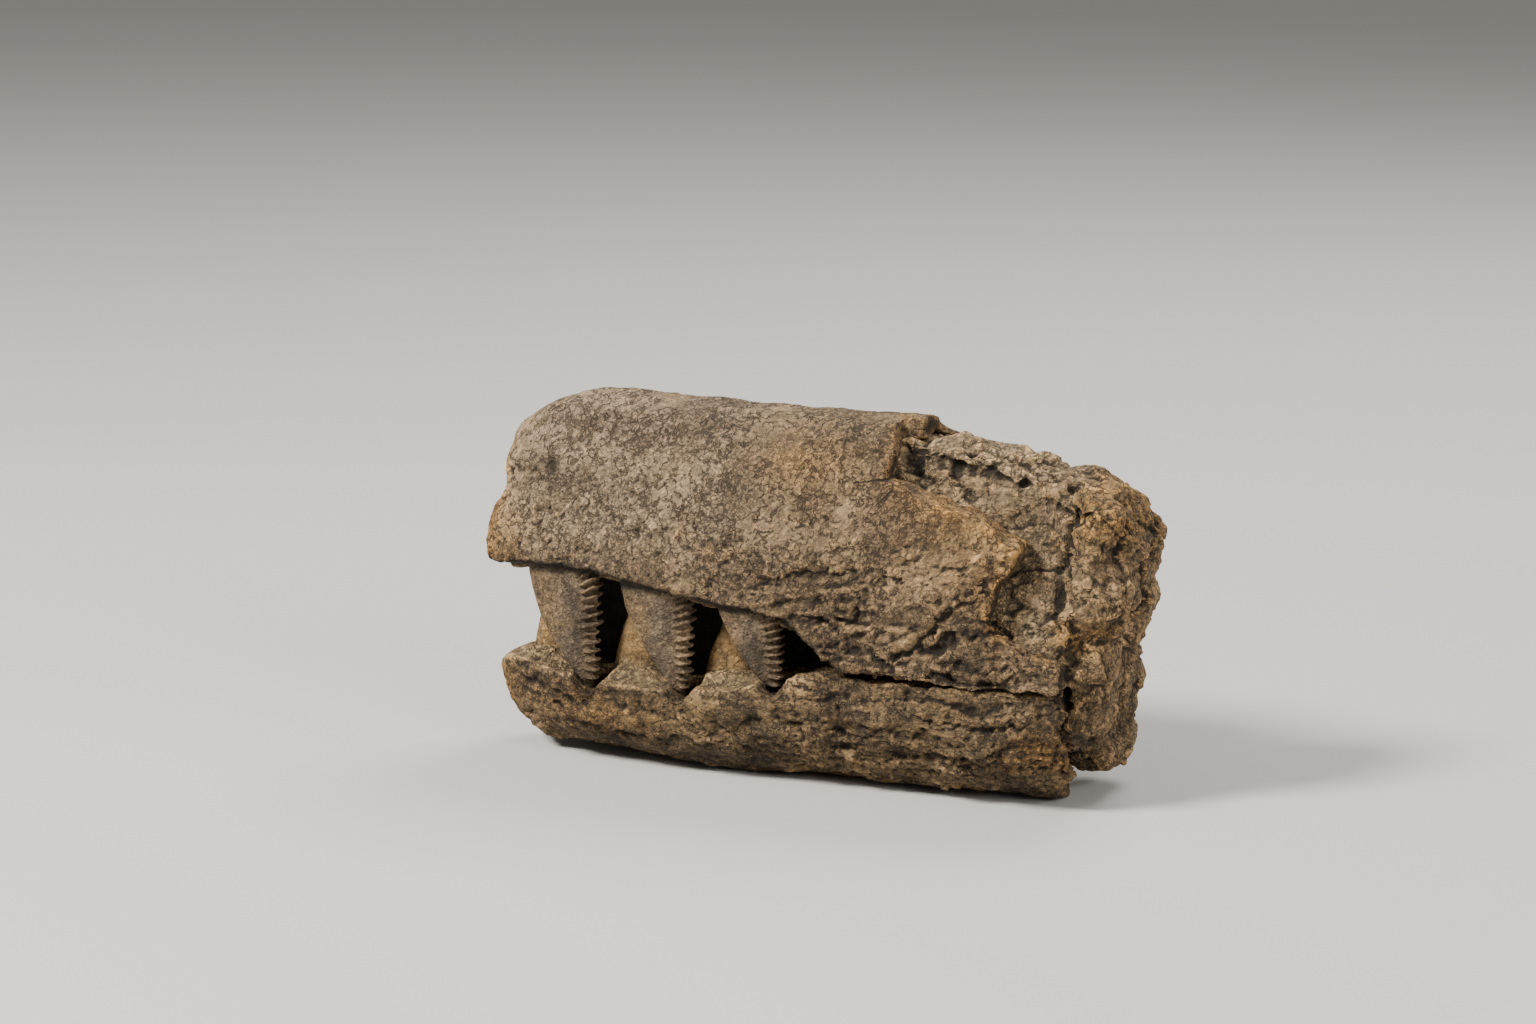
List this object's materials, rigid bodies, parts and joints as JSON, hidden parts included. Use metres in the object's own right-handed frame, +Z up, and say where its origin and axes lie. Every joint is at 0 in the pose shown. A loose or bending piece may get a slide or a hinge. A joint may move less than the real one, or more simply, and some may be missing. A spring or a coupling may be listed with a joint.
{
  "type": "fossil snout",
  "caption": "Fossil front end of a small, deep-jawed reptile's skull: shut jaws, pointed saw-edged teeth, and bare rock where the bone has broken away behind.",
  "frame": {"origin": "middle of the underside of the bounding box, on the surface that the fossil rests on", "axes": "+X from the tip of the snout to the broken back, +Y towards the animal's right side, +Z up"},
  "size_m": [0.1044, 0.0372, 0.055],
  "materials": {
    "jaw_bone": "dry, dull fossil bone",
    "chin_bone": "dry, dull fossil bone",
    "rock": "dry, rough rock",
    "teeth": "dry, slightly smoother fossil enamel"
  },
  "bodies": {
    "root": {"upper_jaw": "jaw_bone", "lower_jaw": "chin_bone", "rock": "rock", "upper_left_tooth_front": "teeth", "upper_left_tooth_middle": "teeth", "upper_left_tooth_back": "teeth", "upper_right_tooth_front": "teeth", "upper_right_tooth_middle": "teeth", "upper_right_tooth_back": "teeth", "lower_left_tooth_front": "teeth", "lower_left_tooth_middle": "teeth", "lower_left_tooth_back": "teeth", "lower_right_tooth_front": "teeth", "lower_right_tooth_middle": "teeth", "lower_right_tooth_back": "teeth"}
  },
  "joints": []
}
